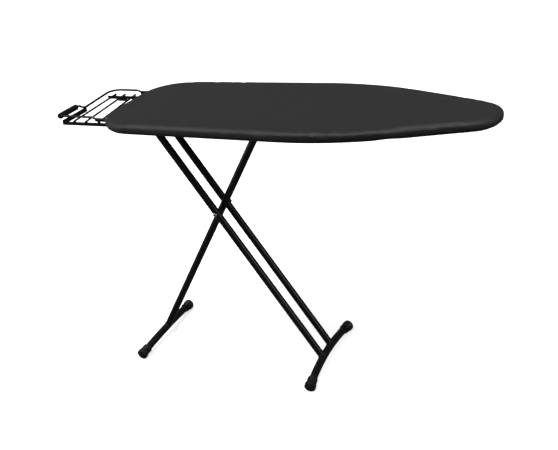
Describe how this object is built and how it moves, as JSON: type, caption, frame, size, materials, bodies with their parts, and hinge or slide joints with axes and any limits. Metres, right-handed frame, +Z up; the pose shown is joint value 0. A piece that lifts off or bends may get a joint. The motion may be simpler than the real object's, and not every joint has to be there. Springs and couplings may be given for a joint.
{
  "type": "ironing board",
  "caption": "Folding ironing board with a padded cloth top, an iron rest at the wide end, and scissor legs with one twin-tube and one single-tube leg on T feet.",
  "frame": {"origin": "on the floor, under the middle of the overall length and width", "axes": "+X towards the nose of the board, +Y towards the far side, +Z up"},
  "size_m": [1.3845, 0.446, 0.912],
  "materials": {
    "cover_cloth": "woven cotton-polyester cloth, matt",
    "foam": "open-cell foam and felt",
    "black_powder_coat": "satin powder coat",
    "black_plastic": "moulded",
    "grip_plastic": "moulded, soft satin",
    "foot_rubber": "moulded rubber",
    "plated_steel": "zinc plated"
  },
  "bodies": {
    "board": {"cover": "cover_cloth", "foam_pad": "foam", "mesh_deck": "black_powder_coat", "rim_tube": "black_powder_coat", "cross_rib_1": "black_powder_coat", "cross_rib_2": "black_powder_coat", "cross_rib_3": "black_powder_coat", "cross_rib_4": "black_powder_coat", "cross_rib_5": "black_powder_coat", "cross_rib_6": "black_powder_coat", "guide_channel": "black_powder_coat", "channel_rivets": "plated_steel", "hinge_bracket_near": "black_powder_coat", "hinge_bracket_far": "black_powder_coat", "bracket_rivets": "plated_steel", "hinge_axle": "plated_steel", "rest_strip_near": "black_powder_coat", "rest_strip_far": "black_powder_coat", "rest_cross_wire_1": "black_powder_coat", "rest_cross_wire_2": "black_powder_coat", "rest_cross_wire_3": "black_powder_coat", "guard_wire": "black_powder_coat", "guard_grip": "grip_plastic", "guard_socket_near": "black_powder_coat", "guard_socket_far": "black_powder_coat"},
    "twin_leg": {"twin_tube_near": "black_powder_coat", "twin_tube_far": "black_powder_coat", "twin_tube_plugs": "black_plastic", "hinge_sleeve": "black_powder_coat", "front_foot_bar": "black_powder_coat", "front_foot_cap_near": "foot_rubber", "front_foot_cap_far": "foot_rubber", "pivot_bolt": "plated_steel", "pivot_nut": "plated_steel", "pivot_washers": "plated_steel", "pivot_spacers": "black_plastic"},
    "single_leg": {"single_tube": "black_powder_coat", "single_tube_plug": "black_plastic", "slide_rod": "plated_steel", "slide_rod_caps": "black_plastic", "pivot_sleeve": "plated_steel", "rear_foot_bar": "black_powder_coat", "rear_foot_cap_near": "foot_rubber", "rear_foot_cap_far": "foot_rubber"},
    "slide_block": {"slide_block": "black_plastic", "lever_pin": "plated_steel", "lever_spring": "plated_steel"},
    "release_lever": {"lever_plate": "black_powder_coat", "lever_rod": "black_powder_coat", "lever_grip": "grip_plastic"}
  },
  "joints": [
    {"name": "leg_fold", "type": "hinge", "parent": "board", "child": "twin_leg", "pos_m": [-0.41182, 0, 0.862], "axis": [0, -1, 0], "range_deg": [0, 54]},
    {"name": "scissor_pivot", "type": "hinge", "parent": "twin_leg", "child": "single_leg", "pos_m": [-0.21775, 0, 0.549], "axis": [0, 1, 0], "range_deg": [0, 108]},
    {"name": "block_swivel", "type": "hinge", "parent": "single_leg", "child": "slide_block", "pos_m": [-0.02368, 0, 0.862], "axis": [0, -1, 0], "range_deg": [0, 54]},
    {"name": "lever_squeeze", "type": "hinge", "parent": "slide_block", "child": "release_lever", "pos_m": [0.01232, 0, 0.862], "axis": [0, -1, 0], "range_deg": [0, 10], "stiffness_Nm_per_rad": 1.5, "springref_deg": -20.05}
  ],
  "couplings": [
    {"joint": "scissor_pivot", "follows": "leg_fold", "ratio": 2},
    {"joint": "block_swivel", "follows": "leg_fold", "ratio": 1}
  ]
}
